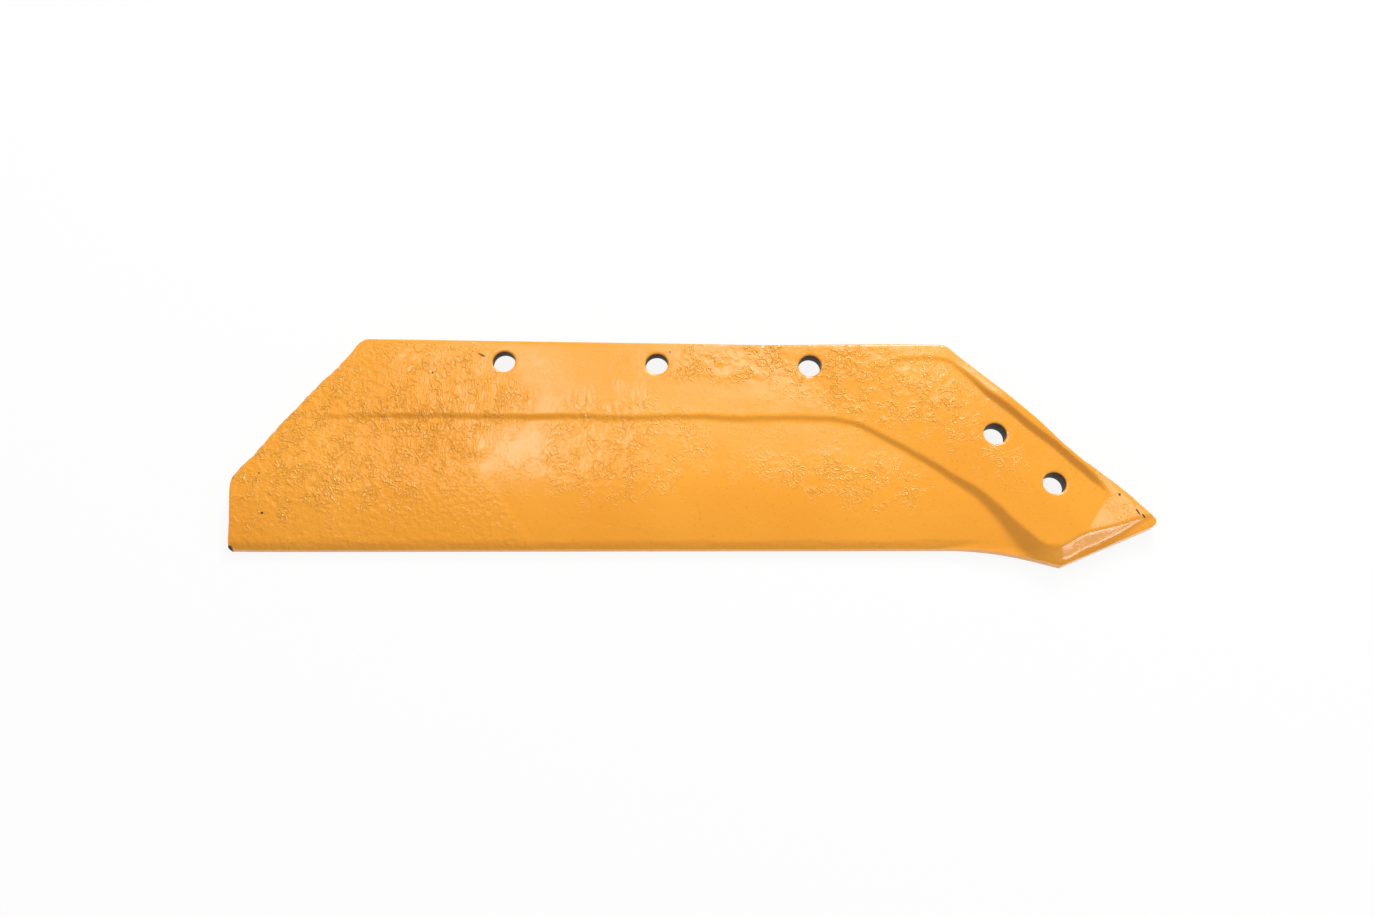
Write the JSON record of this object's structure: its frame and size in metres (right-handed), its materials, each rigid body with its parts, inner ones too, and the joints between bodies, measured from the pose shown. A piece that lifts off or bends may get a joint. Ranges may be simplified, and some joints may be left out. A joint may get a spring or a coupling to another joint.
{
  "type": "plough share",
  "caption": "Left-hand plough share: flat forged blade with a thicker stepped seat for the frog, countersunk bolt holes, a raised lip along the shin and a forward point.",
  "frame": {"origin": "middle hole of the bolt row, on the flat working face", "axes": "+X along the bolt row towards the point, +Y from the cutting edge to the bolt edge, +Z out of the rear face that bolts to the frog"},
  "size_m": [0.4978, 0.1242, 0.018],
  "materials": {
    "orange_paint": "glossy orange paint over a rough forged surface"
  },
  "bodies": {
    "root": {"share": "orange_paint"}
  },
  "joints": []
}
